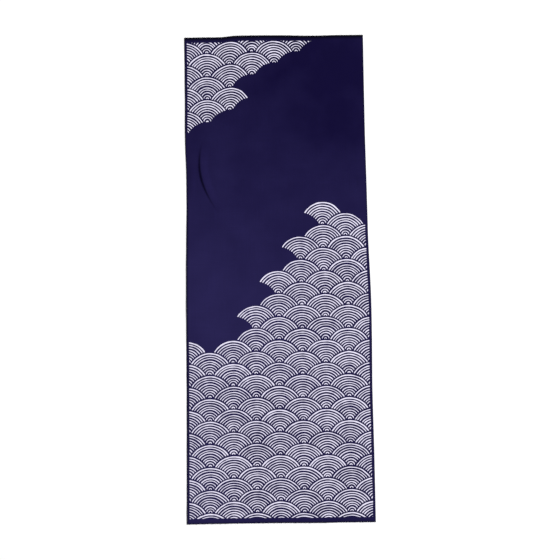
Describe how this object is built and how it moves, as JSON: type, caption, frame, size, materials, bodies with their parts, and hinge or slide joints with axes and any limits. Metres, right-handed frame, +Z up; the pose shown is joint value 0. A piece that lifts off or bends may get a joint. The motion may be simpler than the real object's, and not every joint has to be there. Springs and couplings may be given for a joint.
{
  "type": "tenugui towel",
  "caption": "Thin flat cotton hand towel, long and narrow with plain cut ends, lying face up with one small bowed crease by its left edge.",
  "frame": {"origin": "middle of the cloth's outline, in the plane that it rests on", "axes": "+Z up out of the face that shows, +Y up the length of the cloth towards its narrower end, +X across it to the right"},
  "size_m": [0.3544, 0.9053, 0.004],
  "materials": {
    "dyed_cotton": "matte plain-weave cotton, dyed navy through and through with fine undyed lines"
  },
  "bodies": {
    "root": {"towel": "dyed_cotton"}
  },
  "joints": []
}
